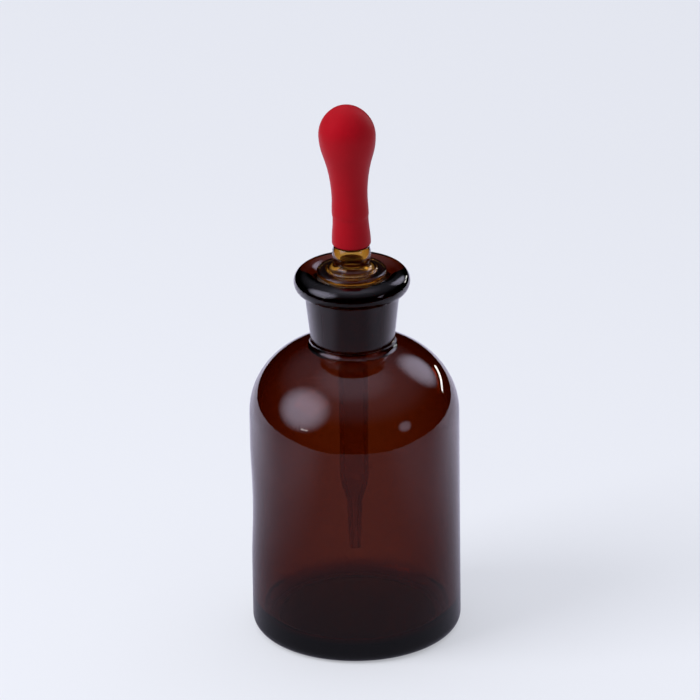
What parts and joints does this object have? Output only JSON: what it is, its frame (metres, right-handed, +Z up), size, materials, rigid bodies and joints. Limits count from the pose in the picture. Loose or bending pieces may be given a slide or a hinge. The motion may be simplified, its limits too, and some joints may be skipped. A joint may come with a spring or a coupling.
{
  "type": "dropper bottle",
  "caption": "Round amber glass dropping bottle with a beaded lip, a hollow ground-in glass dropper in its neck and a red rubber teat on the dropper.",
  "frame": {"origin": "on the bottle's axis, at the surface it stands on", "axes": "+Z up along the bottle's axis, the way the dropper lifts out; +X and +Y are level and alike, since every piece is round"},
  "size_m": [0.045, 0.045, 0.1198],
  "materials": {
    "amber_glass": "moulded amber glass, polished",
    "pale_amber_glass": "drawn pale amber glass, ground on the cone",
    "red_rubber": "dipped red rubber, matt"
  },
  "bodies": {
    "bottle": {"bottle": "amber_glass"},
    "dropper": {"dropper_pipette": "pale_amber_glass"},
    "teat": {"rubber_teat": "red_rubber"}
  },
  "joints": [
    {"name": "dropper_lift", "type": "slide", "parent": "bottle", "child": "dropper", "axis": [0, 0, 1], "range_m": [0, 0.072]},
    {"name": "teat_pull", "type": "slide", "parent": "dropper", "child": "teat", "axis": [0, 0, 1], "range_m": [0, 0.012]}
  ]
}
